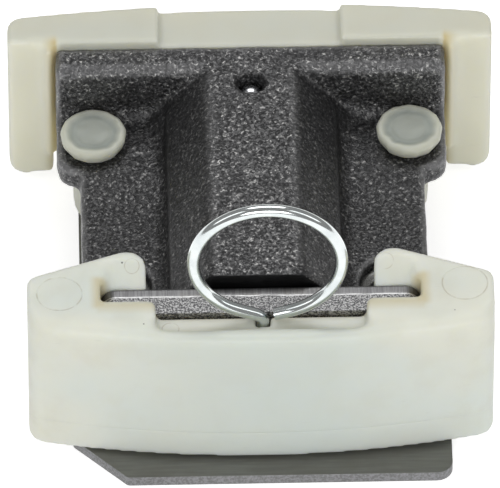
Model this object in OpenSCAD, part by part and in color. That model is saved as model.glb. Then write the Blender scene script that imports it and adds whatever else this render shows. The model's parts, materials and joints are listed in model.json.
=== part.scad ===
// Hydraulic timing chain tensioner, lying on its back plate, in millimetres.
// X runs along the chain faces, +Y points from the shoe to the fixed pad, +Z points out of the front.
// The origin is on the rear face, level with the bottom of the plunger boss.

/* [Body casting] */
// Depth from the rear face to the front of the boss and the rim
body_depth = 23.4; // [22.6:0.1:26]
// Height of the pad seat above the bottom of the boss
body_height = 39.6; // [39:0.1:44]
// Width of the rim and the ears
ear_width = 48.8; // [47.4:0.1:52]
// Height of the ears, with the rim
ear_height = 14; // [13:0.1:15]
// Front of the ears above the rear face
ear_depth = 15.4; // [14.8:0.1:16.4]
// Thickness of the ears
ear_t = 3; // [2.6:0.1:4]
// Radius of the ears' lower corners
ear_corner_r = 2.8; // [1:0.1:4]
// Height of the proud rim under the pad
rim_height = 4.3; // [3:0.1:5]
// Radius along the rim's lower front edge
rim_edge_r = 1.3; // [0.5:0.1:2]
// Width of the lower web
web_width = 43; // [42.4:0.1:46]
// Front of the lower web above the rear face
web_depth = 14.4; // [13.4:0.1:14.6]
// How far the web runs up behind the ears
web_lap = 1.4; // [0.8:0.1:2]
// Width of the block behind the boss, between the pad's ears
core_width = 24; // [22.4:0.1:26]
// Width across the sides of the boss
boss_width = 21.4; // [20.6:0.1:22]
// Width of the flat along the front of the boss
boss_flat = 11.2; // [9:0.1:13]
// How far the boss's sloping sides fall back from its front
boss_slope_depth = 5.4; // [4.4:0.1:6]
// Radius along the edges of the boss's flat
boss_edge_r = 2.2; // [1:0.1:2.6]
// Radius along the boss's shoulders
boss_shoulder_r = 1.6; // [0.8:0.1:2]
// Length of the slope from the ears down to the web
ear_slope = 5; // [3:0.1:8]
// Radius of the rim's upper corners
rim_corner_r = 0.8; // [0.4:0.1:1.2]
// Radius of the casting's inner corners
casting_fillet_r = 2; // [1:0.1:2]
// Reach of the corner gussets along the rim, from the side of the boss
gusset_reach = 3.4; // [2:0.1:4]
// Reach of the corner gussets down the side of the boss
gusset_drop = 9; // [6:0.1:9.6]
// Height of the corner gussets below the front of the boss
gusset_step = 1.3; // [1:0.1:3]

/* [Fixing bolts and oil way] */
// Distance between the two fixing bolts
bolt_spacing = 34.4; // [33:0.1:35]
// Height of the fixing bolts above the bottom of the boss
bolt_height = 6.9; // [6:0.1:11]
// Diameter of the fixing holes
bolt_hole_d = 6.4; // [5.4:0.1:6.6]
// Diameter of the spot faces round the fixing holes
spot_face_d = 8.6; // [8:0.1:9.4]
// Depth of the spot faces
spot_face_depth = 2; // [0.5:0.1:3]
// Diameter of the oil way drilled from the rear face
oil_way_d = 2.8; // [2:0.1:3]
// Distance of the oil way below the pad seat
oil_way_drop = 6.4; // [5:0.1:6.6]
// Diameter of the plug ball at the front end of the oil way
plug_ball_d = 3.4; // [3.2:0.1:4]
// Depth of the plug ball's top below the front of the boss
plug_ball_sink = 1.2; // [0.2:0.1:1.6]

/* [Plunger and check valve] */
// Diameter of the plunger
plunger_d = 13; // [12:0.1:13.4]
// Length of the plunger
plunger_length = 24; // [22:0.1:24.6]
// Wall of the plunger
plunger_wall = 1.7; // [1.4:0.1:2]
// Thickness of the plunger's closed end
plunger_crown = 3.3; // [2:0.1:5]
// Height of the bore's axis above the rear face
bore_axis_z = 13; // [12.4:0.1:14]
// Distance of the bore's end below the oil way
bore_drop = 2.4; // [2:0.1:3]
// Wire of the plunger spring
spring_wire_d = 1.2; // [0.8:0.1:1.3]
// Turns of the plunger spring
spring_turns = 10; // [7:1:12]
// Bevel at the plunger's foot
foot_bevel = 0.6; // [0.3:0.1:1]
// Bevels at the plunger's open end
plunger_bevel = 0.4; // [0.2:0.1:0.6]
// Thickness of the valve seat
valve_seat_t = 2.4; // [1.6:0.1:2.8]
// Diameter of the hole in the valve seat
valve_hole_d = 2.8; // [2:0.1:3]
// Diameter of the check ball
check_ball_d = 4; // [3.6:0.1:4.2]
// Room on each side of the check ball in its cage
ball_play = 0.4; // [0.2:0.1:0.6]
// Sheet that the valve cage is drawn from
cage_t = 0.5; // [0.3:0.1:0.6]
// Room round the flange of the valve cage
cage_play = 0.2; // [0.1:0.05:0.4]
// Wire of the check ball's spring
ball_spring_wire_d = 0.35; // [0.25:0.05:0.4]
// Mean radius of the check ball's spring
ball_spring_r = 1.2; // [1:0.1:1.4]
// Turns of the check ball's spring
ball_spring_turns = 3; // [2:1:4]
// Distance from the check ball to the end of its cage
ball_spring_room = 2; // [1.6:0.1:2.4]

/* [Back plate] */
// Thickness of the back plate
plate_t = 1.5; // [1:0.1:2]
// How far the back plate hangs below the bottom of the boss
plate_drop = 13.6; // [13:0.1:16]
// Top edge of the back plate below the pad seat
plate_top_drop = 2.4; // [1.5:0.1:3.4]
// Width of the back plate behind the body
plate_width = 43.6; // [42:0.1:46]
// Reach of the lower plate to the left of the centre
plate_left = 23; // [22:0.1:26]
// Reach of the lower plate to the right of the centre
plate_right = 24; // [23:0.1:27]
// Height of the bevel at the lower left corner
plate_bevel = 6.7; // [3:0.1:8]
// Radius of the lower right corner
plate_corner_r = 2; // [1:0.1:4]
// Radius of the back plate's upper corners
plate_upper_r = 4; // [2:0.1:6]
// Radius of the back plate's other corners
plate_edge_r = 0.8; // [0.4:0.1:1]
// Distance of the wide lower plate's shoulders below the bottom of the boss
plate_shoulder_drop = 2.3; // [1.5:0.1:3]
// Shank diameter of the drive rivets
rivet_d = 3; // [2.4:0.1:3.4]
// Diameter of the drive rivets' heads
rivet_head_d = 5.1; // [4.4:0.1:5.6]
// Height of the drive rivets' heads
rivet_head_t = 0.7; // [0.5:0.1:0.8]
// Depth of the rivets' heads below the rear face
rivet_sink = 0.2; // [0.1:0.05:0.3]
// Length of the drive rivets
rivet_length = 7; // [5:0.1:8]
// Distance between the drive rivets
rivet_spacing = 34; // [30:0.1:35]
// Height of the drive rivets above the bottom of the boss
rivet_height = 20.5; // [19:0.1:22]

/* [Upper chain pad] */
// Length of the upper pad
pad_width = 60.8; // [58:0.1:64]
// Thickness of the pad at its middle
pad_t = 6.5; // [5.6:0.1:8]
// Radius of the pad's chain face
pad_crown_r = 230; // [180:1:400]
// Radius of the pad's outer corners
pad_corner_r = 2; // [1:0.1:2.4]
// Length of the pad's middle, which is flush with the rim
pad_middle_width = 24.8; // [20:0.1:30]
// How far the pad's side blocks stand in front of the rim
pad_front_step = 1.1; // [0.5:0.1:2]
// Rear edge of the pad above the rear face
pad_rear = 4.9; // [3.5:0.1:6]
// Rear edge of the pad's end blocks above the rear face
pad_end_rear = 1; // [0.4:0.1:3]
// Radius of the pad's rear corners, seen from the chain
pad_rear_corner_r = 2.2; // [1:0.1:4]
// Radius of the pad's seat corners
pad_seat_r = 0.6; // [0.3:0.1:1]
// Width of the lips that hug the sides of the rim
pad_lip_t = 1.1; // [0.8:0.1:1.4]
// Height of the lips
pad_lip_height = 1.2; // [0.6:0.1:2]
// How far the lips stop short of the pad's front
pad_lip_inset = 0.6; // [0.3:0.1:1]
// Half width of the pad's ears
pad_ear_reach = 22.4; // [22:0.1:23]
// Radius of the pad ears' lower outer corners
pad_ear_r = 7; // [3:0.1:8]
// Distance between the pegs
peg_spacing = 39.6; // [38:0.1:40]
// Height of the pegs below the pad seat
peg_drop = 9; // [8.6:0.1:9.4]
// Diameter of the pegs
peg_d = 5; // [4:0.1:5]
// Diameter of the staked heads
peg_head_d = 8.6; // [7:0.1:8.8]
// Height of the staked heads
peg_head_t = 2; // [1:0.1:3]
// Diameter of the dimple in the staked heads
peg_dimple_d = 5.2; // [3:0.1:6]
// Depth of the dimple
peg_dimple_depth = 0.4; // [0.2:0.1:0.8]
// Width of the dimple's sloping edge
peg_dimple_slope = 0.5; // [0.3:0.1:0.8]
// Radius round the dimple and under the staked heads
peg_edge_r = 0.2; // [0.1:0.05:0.25]

/* [Lower chain shoe] */
// Length of the lower shoe
shoe_width = 57.6; // [56:0.1:62]
// How far the shoe and its plate sit to the right in their play
shoe_shift = 0.4; // [0:0.1:0.6]
// Front of the shoe above the rear face
shoe_front = 22.9; // [22.6:0.1:25]
// Thickness of the shoe under the plate at its middle
shoe_t = 6.4; // [5.6:0.1:8]
// Radius of the shoe's chain face
shoe_crown_r = 130; // [110:1:300]
// Radius of the shoe's lower end corners
shoe_corner_r = 2.4; // [1:0.1:2.6]
// Depth of the open space under the plate's middle
seat_relief = 0.5; // [0.3:0.1:1]
// Length of the recessed middle wall
middle_wall_width = 26; // [22:0.1:27]
// Depth of the recess in front of the middle wall
middle_recess = 1.9; // [1.8:0.1:2.4]
// Height of the recess below the plate's seat
middle_recess_height = 3.6; // [2:0.1:4.2]
// Thickness of the finger blocks in front of the plate
finger_t = 1.5; // [1.2:0.1:1.8]
// Height of the finger blocks above the plate's seat
finger_height = 0.9; // [0.3:0.05:1.5]
// Distance between the inner ends of the tabs
tab_gap = 28.2; // [27:0.1:30]
// Height of the tabs above the bottom of the boss
tab_height = 5.85; // [4:0.05:5.9]
// Slope of the tabs' top edges in degrees
tab_slope = 20; // [15:0.1:24]
// Radius of the tabs' inner corners
tab_corner_r = 2.4; // [1:0.1:2.6]
// Radius of the tabs' outer corners
shoulder_corner_r = 1.6; // [0.8:0.1:2]
// Width of the set back inner part of the tabs
tab_setback_width = 4.4; // [3:0.1:5]
// How far the inner part of the tabs lies behind the plate's front edge
tab_setback = 0.3; // [0.1:0.1:1]
// Height above the plate at which the set back part has faded out
tab_setback_height = 3.5; // [2:0.1:4]
// Width of the slope beside the set back part
tab_setback_slope = 0.8; // [0.4:0.1:1.2]
// Radius of the set back part's inner corner
tab_setback_r = 1.2; // [0.6:0.1:1.4]
// Thickness of the steel plate in the shoe
shoe_plate_t = 4.2; // [3:0.1:5]
// Length of the steel plate
shoe_plate_width = 39.4; // [38:0.1:41]
// Depth of the steel plate
shoe_plate_depth = 17.4; // [16:0.1:17.8]
// Radius of the steel plate's corners
shoe_plate_corner_r = 2; // [1:0.1:4]
// Distance of the fine line on the chain face from the shoe's rear edge
chain_line_inset = 4.2; // [3:0.1:6]
// Width of the fine line
chain_line_width = 0.25; // [0.15:0.05:0.4]
// Depth of the fine line
chain_line_depth = 0.1; // [0.05:0.05:0.2]

/* [Lock pin] */
// Diameter of the wire
wire_d = 1.6; // [1.2:0.1:1.8]
// Outside diameter of the pull ring
ring_d = 19.8; // [17:0.1:20.4]
// Place of the pin to the right of the centre
pin_x = 0.6; // [-2:0.1:3]
// Place of the ring's centre to the right of the centre
ring_x = 1.15; // [-1:0.05:2]
// Height of the ring's bend above the front of the recessed middle wall
bend_rise = 0.7; // [0.6:0.1:2]
// Radius of the bend between the pin and the ring
bend_r = 1.3; // [1:0.1:2]
// Distance of the wire's cut end from the bend
cut_gap = 1.5; // [1.4:0.1:3]
// Distance from the bend to the ring's centre
ring_stem = 9.6; // [9.3:0.1:13]

/* [Clearances] */
// Gap on each side of a pressed fit
press_gap = 0.01; // [0.005:0.005:0.02]
// Gap on each side of a running fit
running_gap = 0.05; // [0.02:0.01:0.08]
// Gap between pieces that move past each other
moving_gap = 0.3; // [0.25:0.05:0.5]
// Gap between the boss and the plate in the shoe
shoe_gap = 0.33; // [0.3:0.01:0.6]

/* [Hidden] */
$fn = 64;
arc_steps = 7;
ring_steps = 64;
wire_sides = 16;
spring_steps = 20;
spring_sides = 8;
ball_spring_steps = 16;
ball_spring_sides = 6;
pad_steps = 20;
shoe_steps = 24;
line_facets = 200;
past = 1;
boss_half = boss_width / 2;
ear_rear = ear_depth - ear_t;
ear_bottom = body_height - ear_height;
rim_bottom = body_height - rim_height;
web_top = ear_bottom + web_lap;
bolt_x = bolt_spacing / 2;
rivet_x = rivet_spacing / 2;
oil_y = body_height - oil_way_drop;
bore_depth = body_height - (oil_way_drop + bore_drop);
bore_d = plunger_d + 2 * running_gap;
plunger_bore_d = plunger_d - 2 * plunger_wall;
seat_y = bore_depth - valve_seat_t;
cage_flange_y = seat_y - cage_t;
check_ball_y = seat_y - sqrt(pow(check_ball_d / 2, 2) - pow(valve_hole_d / 2, 2)) - running_gap;
cage_bore_d = check_ball_d + 2 * ball_play;
cage_end_y = check_ball_y - check_ball_d / 2 - ball_spring_room;
ball_spring_reach = check_ball_d / 2 + ball_spring_wire_d / 2 + running_gap;
ball_spring_top = check_ball_y + ball_spring_wire_d / 2
    - sqrt(pow(ball_spring_reach, 2) - pow(ball_spring_r, 2));
spring_mean_r = plunger_bore_d / 2 - moving_gap - spring_wire_d / 2;
plunger_foot_y = -shoe_gap;
plate_seat_y = -shoe_gap - shoe_plate_t;
chain_face_y = plate_seat_y - shoe_t;
shoe_rear = plate_t + 2 * moving_gap;
shoe_plate_front = shoe_front - finger_t;
shoe_plate_rear = shoe_plate_front - shoe_plate_depth;
middle_wall_front = shoe_front - middle_recess;
pad_front = body_depth + pad_front_step;
pad_top_y = body_height + pad_t;
pad_lip_x = ear_width / 2 + moving_gap;
peg_x = peg_spacing / 2;
peg_y = body_height - peg_drop;
pin_y = plate_seat_y - moving_gap - wire_d / 2;
pin_slot_w = wire_d + 2 * moving_gap;
bend_z = middle_wall_front + bend_rise;
ring_r = ring_d / 2 - wire_d / 2;
ring_z = bend_z + sqrt(pow(ring_stem, 2) - pow(pin_x - ring_x, 2));

// Height of a round face of radius r below its crown, at a distance x from its middle
function sagitta(r, x) = r - sqrt(r * r - x * x);

function unit(v) = v / norm(v);

// Signed turn from one angle to another, the short way round
function turn(from, to) =
    let (d = to - from)
    d > 180 ? d - 360 : d < -180 ? d + 360 : d;

// Points of the arc of radius r that rounds one corner of an outline
function corner(before, here, after, r) =
    let (u = unit(before - here),
         w = unit(after - here),
         half = acos(u * w) / 2,
         centre = here + unit(u + w) * r / sin(half),
         first = here + u * r / tan(half) - centre,
         last = here + w * r / tan(half) - centre,
         start = atan2(first[1], first[0]),
         sweep = turn(start, atan2(last[1], last[0])))
    [for (i = [0:arc_steps])
        let (a = start + sweep * i / arc_steps)
        centre + r * [cos(a), sin(a)]];

// An outline with a radius at each of its points, 0 for a sharp corner
function rounded(points, radii) =
    let (n = len(points))
    [for (i = [0:n - 1])
        each (radii[i] > 0
            ? corner(points[(i + n - 1) % n], points[i], points[(i + 1) % n], radii[i])
            : [points[i]])];

// Points along a round face of radius r with its crown at height y; side is 1 upwards, -1 downwards
function crowned(width, r, y, side, steps) =
    [for (i = [0:steps])
        let (x = width * (i / steps - 0.5))
        [x, y - side * sagitta(r, x)]];

// Fills the inner corner at (x, y), above and to the right of it, with a fillet of radius r
function fillet(x, y, r) =
    concat([[x - past, y - past], [x - past, y + r]],
           [for (i = [0:arc_steps])
               let (a = 180 + 90 * i / arc_steps)
               [x + r + r * cos(a), y + r + r * sin(a)]],
           [[x + r, y - past]]);

// Raises an outline drawn in X and Y from z0 to z1
module raise(z0, z1) {
    translate([0, 0, z0]) linear_extrude(z1 - z0) children();
}

// Runs a profile drawn in X and Z along Y from y0 to y1
module along_y(y0, y1) {
    translate([0, y1, 0]) rotate([90, 0, 0]) linear_extrude(y1 - y0) children();
}

// Runs a profile drawn in Y and Z along X, centred
module along_x(width) {
    translate([-width / 2, 0, 0]) rotate([90, 0, 90]) linear_extrude(width) children();
}

module both_sides() {
    children();
    mirror([1, 0, 0]) children();
}

// A cylinder along the plunger's axis from y0 to y1
module axial(d, y0, y1) {
    translate([0, y0, bore_axis_z]) rotate([-90, 0, 0]) cylinder(d = d, h = y1 - y0);
}

// A turned shape on the plunger's axis; the profile is drawn as radius and height in Y
module turned() {
    translate([0, 0, bore_axis_z]) rotate([-90, 0, 0]) rotate_extrude() children();
}

// An upright cylinder from z0 to z1
module upright(x, y, d, z0, z1) {
    translate([x, y, z0]) cylinder(d = d, h = z1 - z0);
}

// A closed tube through rings of points, each ring turning to the right about the way ahead
module tube(rings) {
    sides = len(rings[0]);
    last = len(rings) - 1;
    walls = [for (i = [0:last - 1]) for (k = [0:sides - 1])
        let (n = (k + 1) % sides)
        [i * sides + k, (i + 1) * sides + k, (i + 1) * sides + n, i * sides + n]];
    start_cap = [for (k = [0:sides - 1]) k];
    end_cap = [for (k = [sides:-1:1]) last * sides + k % sides];
    polyhedron(points = [for (ring = rings) each ring], faces = concat(walls, [start_cap, end_cap]),
               convexity = 10);
}

// A helical spring on the plunger's axis, from y0 to y1 over the wire
module coil(mean_r, wire, turns, y0, y1, steps, sides) {
    count = turns * steps;
    rise = y1 - y0 - wire;
    tube([for (i = [0:count])
        let (a = 360 * i / steps, y = y0 + wire / 2 + rise * i / count)
        [for (k = [0:sides - 1])
            let (b = 360 * k / sides, r = mean_r + wire / 2 * cos(b))
            [r * cos(a), y + wire / 2 * sin(b), bore_axis_z + r * sin(a)]]]);
}

// Boss section: a flat front, sloping sides and rounded edges
module boss_profile() {
    shoulder_z = body_depth - boss_slope_depth;
    flat = boss_flat / 2;
    polygon(rounded([[-boss_half, plate_t], [boss_half, plate_t], [boss_half, shoulder_z], [flat, body_depth],
                     [-flat, body_depth], [-boss_half, shoulder_z]],
                    [0, 0, boss_shoulder_r, boss_edge_r, boss_edge_r, boss_shoulder_r]));
}

module ear_outline() {
    half = ear_width / 2;
    polygon(rounded([[-half, body_height], [-half, ear_bottom], [half, ear_bottom], [half, body_height]],
                    [rim_corner_r, ear_corner_r, ear_corner_r, rim_corner_r]));
}

// Rim section: round lower front edge, filleted into the ears' front
module rim_profile() {
    polygon(rounded([[rim_bottom - 2 * casting_fillet_r, ear_depth - past], [body_height, ear_depth - past],
                     [body_height, body_depth], [rim_bottom, body_depth], [rim_bottom, ear_depth],
                     [rim_bottom - 2 * casting_fillet_r, ear_depth]],
                    [0, 0, 0, rim_edge_r, casting_fillet_r, 0]));
}

// Slope from the ears' front down to the web
module ear_slope_profile() {
    polygon([[ear_bottom + past, web_depth - past], [ear_bottom + past, ear_depth], [ear_bottom, ear_depth],
             [ear_bottom - ear_slope, web_depth], [ear_bottom - ear_slope, web_depth - past]]);
}

// Fillet along the right side of the boss, over the web, the slope and the ear
module boss_fillet() {
    run = [[0, web_depth], [ear_bottom - ear_slope, web_depth], [ear_bottom, ear_depth],
           [rim_bottom, ear_depth]];
    tube([for (at = run) [for (p = fillet(boss_half, at[1], casting_fillet_r)) [p[0], at[0], p[1]]]]);
}

// Three-sided gusset in the corner between the boss, the rim and the right ear
module corner_gusset() {
    wall = rim_bottom + past / 2;
    polyhedron(points = [[boss_half + gusset_reach, wall, ear_depth],
                         [boss_half, rim_bottom - gusset_drop, ear_depth],
                         [boss_flat / 2, wall, body_depth - gusset_step],
                         [0, wall, ear_depth - past]],
               faces = [[0, 1, 2], [0, 3, 1], [1, 3, 2], [0, 2, 3]]);
}

module tensioner_body() {
    color([0.30, 0.29, 0.31])
    difference() {
        union() {
            along_y(0, body_height) boss_profile();
            raise(plate_t, web_depth) translate([-web_width / 2, 0]) square([web_width, web_top]);
            raise(plate_t, ear_depth)
                translate([-core_width / 2, ear_bottom]) square([core_width, ear_height]);
            raise(ear_rear, ear_depth) ear_outline();
            intersection() {
                along_x(ear_width) rim_profile();
                raise(ear_rear, body_depth) ear_outline();
            }
            along_x(web_width) ear_slope_profile();
            both_sides() {
                boss_fillet();
                corner_gusset();
            }
        }
        axial(bore_d, -past, bore_depth);
        axial(oil_way_d, bore_depth - past, oil_y);
        upright(0, oil_y, oil_way_d, 0, body_depth);
        upright(0, oil_y, plug_ball_d + 2 * press_gap, body_depth - plug_ball_sink - plug_ball_d,
                body_depth + past);
        both_sides() {
            upright(bolt_x, bolt_height, bolt_hole_d, 0, body_depth);
            upright(bolt_x, bolt_height, spot_face_d, web_depth - spot_face_depth, body_depth);
            upright(peg_x, peg_y, peg_d + 2 * running_gap, 0, body_depth);
            upright(peg_x, peg_y, peg_head_d + 2 * running_gap, ear_depth, body_depth);
            upright(rivet_x, rivet_height, rivet_d, 0, rivet_length + past);
        }
    }
}

module back_plate() {
    shoulder_y = -plate_shoulder_drop;
    color([0.55, 0.55, 0.54])
    difference() {
        raise(0, plate_t)
            polygon(rounded([[-plate_left + plate_bevel, -plate_drop], [plate_right, -plate_drop],
                             [plate_right, shoulder_y], [plate_width / 2, -shoulder_y],
                             [plate_width / 2, body_height - plate_top_drop],
                             [-plate_width / 2, body_height - plate_top_drop],
                             [-plate_width / 2, -shoulder_y], [-plate_left, shoulder_y],
                             [-plate_left, -plate_drop + plate_bevel]],
                            [plate_edge_r, plate_corner_r, plate_edge_r, plate_edge_r, plate_upper_r,
                             plate_upper_r, plate_edge_r, plate_edge_r, plate_edge_r]));
        both_sides() {
            upright(bolt_x, bolt_height, bolt_hole_d, -past, plate_t + past);
            upright(rivet_x, rivet_height, rivet_d, -past, plate_t + past);
            upright(rivet_x, rivet_height, rivet_head_d, -past, rivet_sink + rivet_head_t);
        }
        upright(0, oil_y, oil_way_d, -past, plate_t + past);
        upright(pin_x, pin_y, wire_d + 2 * running_gap, -past, plate_t + past);
    }
}

module back_plate_rivets() {
    color([0.62, 0.62, 0.64])
    both_sides() {
        upright(rivet_x, rivet_height, rivet_d - 2 * running_gap, rivet_sink, rivet_length);
        upright(rivet_x, rivet_height, rivet_head_d - 2 * running_gap, rivet_sink, rivet_sink + rivet_head_t);
    }
}

module pad_outline() {
    arc = crowned(pad_width, pad_crown_r, pad_top_y, 1, pad_steps);
    outline = concat([[-pad_width / 2, body_height]], arc, [[pad_width / 2, body_height]]);
    last = len(outline) - 1;
    polygon(rounded(outline, [for (i = [0:last])
        i == 1 || i == last - 1 ? pad_corner_r : i == 0 || i == last ? pad_seat_r : 0]));
}

// The stretch of the pad between two distances from its middle, on both sides
module pad_stretch(x0, x1, z0, z1) {
    both_sides()
    raise(z0, z1)
    intersection() {
        pad_outline();
        translate([x0, body_height - past]) square([x1 - x0, pad_t + 2 * past]);
    }
}

// The pad seen from the chain, with round rear corners
module pad_plan() {
    half = pad_width / 2;
    polygon(rounded([[-half, pad_end_rear], [half, pad_end_rear], [half, pad_front], [-half, pad_front]],
                    [pad_rear_corner_r, pad_rear_corner_r, 0, 0]));
}

// Peg with its staked head, turned about its own axis
module peg() {
    head_r = peg_head_d / 2;
    dimple_r = peg_dimple_d / 2;
    top = ear_depth + peg_head_t;
    dimple_z = top - peg_dimple_depth;
    translate([peg_x, peg_y, 0]) rotate_extrude()
        polygon(rounded([[0, ear_rear - past], [peg_d / 2, ear_rear - past], [peg_d / 2, ear_depth],
                         [head_r, ear_depth], [head_r, top], [dimple_r, top],
                         [dimple_r - peg_dimple_slope, dimple_z], [0, dimple_z]],
                        [0, 0, 0, peg_edge_r, peg_head_t / 2, peg_edge_r, peg_edge_r, 0]));
}

module upper_chain_pad() {
    block_x = ear_width / 2 + moving_gap + pad_lip_t;
    ear_inner = core_width / 2 + moving_gap;
    ear_low = web_top + moving_gap;
    color([0.85, 0.86, 0.82])
    union() {
        pad_stretch(0, pad_middle_width / 2, pad_rear, body_depth);
        pad_stretch(pad_middle_width / 2 - past, block_x, pad_rear, pad_front);
        intersection() {
            pad_stretch(block_x - past, pad_width / 2, pad_end_rear, pad_front);
            along_y(body_height - past, pad_top_y + past) pad_plan();
        }
        both_sides() {
            raise(pad_rear, pad_front - pad_lip_inset)
                translate([pad_lip_x, body_height - pad_lip_height])
                square([pad_lip_t, pad_lip_height + past]);
            raise(plate_t + moving_gap, ear_rear - moving_gap)
                polygon(rounded([[ear_inner, ear_low], [pad_ear_reach, ear_low],
                                 [pad_ear_reach, body_height - moving_gap],
                                 [ear_inner, body_height - moving_gap]],
                                [pad_seat_r, pad_ear_r, 0, 0]));
            raise(pad_rear, ear_rear - moving_gap)
                translate([ear_inner, body_height - past])
                square([pad_ear_reach - ear_inner, 2 * past]);
            peg();
        }
    }
}

module oil_plug_ball() {
    color([0.75, 0.75, 0.77])
    translate([0, oil_y, body_depth - plug_ball_sink - plug_ball_d / 2]) sphere(d = plug_ball_d);
}

// Disc with a round hole that the ball closes
module check_valve_seat() {
    color([0.68, 0.68, 0.70])
    turned()
        polygon([[valve_hole_d / 2, seat_y], [plunger_d / 2, seat_y],
                 [plunger_d / 2, bore_depth - running_gap], [valve_hole_d / 2, bore_depth - running_gap]]);
}

module check_ball() {
    color([0.80, 0.80, 0.82])
    translate([0, check_ball_y, bore_axis_z]) sphere(d = check_ball_d);
}

module check_ball_spring() {
    color([0.60, 0.60, 0.63])
    coil(ball_spring_r, ball_spring_wire_d, ball_spring_turns, cage_end_y + running_gap, ball_spring_top,
         ball_spring_steps, ball_spring_sides);
}

// Drawn cup with a flange that the plunger spring presses against the seat
module check_valve_cage() {
    inner = cage_bore_d / 2;
    outer = inner + cage_t;
    flange = plunger_d / 2 - cage_play;
    color([0.66, 0.64, 0.58])
    difference() {
        turned()
            polygon([[0, cage_end_y - cage_t], [outer, cage_end_y - cage_t], [outer, cage_flange_y],
                     [flange, cage_flange_y], [flange, seat_y], [inner, seat_y],
                     [inner, cage_end_y], [0, cage_end_y]]);
        for (side = [-1, 1])
            translate([side * inner, check_ball_y, bore_axis_z]) rotate([0, 90, 0])
                cylinder(d = check_ball_d / 2, h = 3 * cage_t, center = true);
    }
}

module plunger_spring() {
    color([0.52, 0.53, 0.56])
    coil(spring_mean_r, spring_wire_d, spring_turns, plunger_foot_y + plunger_crown + running_gap,
         cage_flange_y - running_gap, spring_steps, spring_sides);
}

// Hollow piston, open towards the valve, with a bevelled foot on the shoe's plate
module plunger() {
    outer = plunger_d / 2;
    inner = plunger_bore_d / 2;
    foot = plunger_foot_y;
    top = foot + plunger_length;
    color([0.70, 0.70, 0.72])
    turned()
        polygon([[0, foot], [outer - foot_bevel, foot], [outer, foot + foot_bevel],
                 [outer, top - plunger_bevel],
                 [outer - plunger_bevel, top], [inner + plunger_bevel, top], [inner, top - plunger_bevel],
                 [inner, foot + plunger_crown], [0, foot + plunger_crown]]);
}

module shoe_plate() {
    half = shoe_plate_width / 2;
    r = shoe_plate_corner_r;
    color([0.58, 0.58, 0.58])
    translate([shoe_shift, 0, 0]) along_y(plate_seat_y, plunger_foot_y)
        polygon(rounded([[-half, shoe_plate_rear], [half, shoe_plate_rear], [half, shoe_plate_front],
                         [-half, shoe_plate_front]], [r, r, r, r]));
}

// The shoe's lower body: round chain face below, plate's seat above, with the middle of the seat relieved
module shoe_base_outline() {
    arc = crowned(shoe_width, shoe_crown_r, chain_face_y, -1, shoe_steps);
    wall = middle_wall_width / 2;
    outline = concat(arc, [[shoe_width / 2, plate_seat_y], [wall, plate_seat_y],
                           [wall, plate_seat_y - seat_relief], [-wall, plate_seat_y - seat_relief],
                           [-wall, plate_seat_y],
                           [-shoe_width / 2, plate_seat_y]]);
    ends = [0, len(arc) - 1];
    polygon(rounded(outline, [for (i = [0:len(outline) - 1])
        i == ends[0] || i == ends[1] ? shoe_corner_r : 0]));
}

// Right end of the shoe under its sloping top edge, from an inner distance out to the shoe's end
module shoulder_outline(inner) {
    end = shoe_width / 2;
    peak = tab_gap / 2;
    fall = tan(tab_slope);
    low = plate_seat_y - past;
    polygon(rounded([[inner, low], [end, low], [end, tab_height - (end - peak) * fall],
                     [inner, tab_height - (inner - peak) * fall]],
                    [0, 0, shoulder_corner_r, inner == peak ? tab_corner_r : 0]));
}

module lower_chain_shoe() {
    end_x = shoe_plate_width / 2 + running_gap;
    lug_x = max(web_width, plate_width) / 2 + 2 * moving_gap + shoe_shift;
    tab_rear = web_depth + 2 * moving_gap;
    finger_rear = shoe_plate_front + running_gap;
    wall = middle_wall_width / 2;
    setback = tab_gap / 2 + tab_setback_width;
    setback_z = shoe_plate_front - tab_setback;
    fade_y = plunger_foot_y + tab_setback_height;
    color([0.85, 0.86, 0.82])
    translate([shoe_shift, 0, 0]) difference() {
        union() {
            raise(shoe_rear, shoe_front) shoe_base_outline();
            both_sides() {
                raise(finger_rear, shoe_front)
                    polygon(rounded([[wall, plate_seat_y - past], [end_x + past, plate_seat_y - past],
                                     [end_x + past, plate_seat_y + finger_height],
                                     [wall, plate_seat_y + finger_height]], [0, 0, 0, finger_height]));
                raise(shoe_rear, shoe_front) {
                    shoulder_outline(lug_x);
                    intersection() {
                        shoulder_outline(end_x);
                        translate([end_x, plate_seat_y - past])
                            square([shoe_width, plunger_foot_y - plate_seat_y + past]);
                    }
                }
                raise(tab_rear, shoe_front) intersection() {
                    shoulder_outline(tab_gap / 2);
                    translate([0, plunger_foot_y]) square([shoe_width, tab_height + past]);
                }
            }
        }
        // Recess in front of the middle wall
        raise(middle_wall_front, shoe_front + past)
            translate([-wall, plate_seat_y - middle_recess_height])
            square([middle_wall_width, middle_recess_height + past]);
        // Inner parts of the tabs, set back behind the plate's front edge and leaning forward above it
        both_sides() intersection() {
            along_y(plunger_foot_y, fade_y)
                polygon(rounded([[tab_gap / 2 - past, setback_z], [setback, setback_z],
                                 [setback + tab_setback_slope, shoe_front + past],
                                 [tab_gap / 2 - past, shoe_front + past]],
                                [0, tab_setback_r, 0, 0]));
            along_x(2 * shoe_width)
                polygon([[plunger_foot_y - past, setback_z], [plunger_foot_y, setback_z],
                         [fade_y, shoe_front], [fade_y, shoe_front + 2 * past],
                         [plunger_foot_y - past, shoe_front + 2 * past]]);
        }
        // Slot that the lock pin lies in
        translate([pin_x - shoe_shift - pin_slot_w / 2, pin_y - wire_d / 2 - moving_gap, 0])
            cube([pin_slot_w, shoe_t, body_depth]);
        // Fine line along the chain face
        translate([0, chain_face_y + shoe_crown_r, shoe_rear + chain_line_inset]) difference() {
            cylinder(r = shoe_crown_r + past, h = chain_line_width, $fn = line_facets);
            translate([0, 0, -past])
                cylinder(r = shoe_crown_r - chain_line_depth, h = chain_line_width + 2 * past,
                         $fn = line_facets);
        }
    }
}

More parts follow.
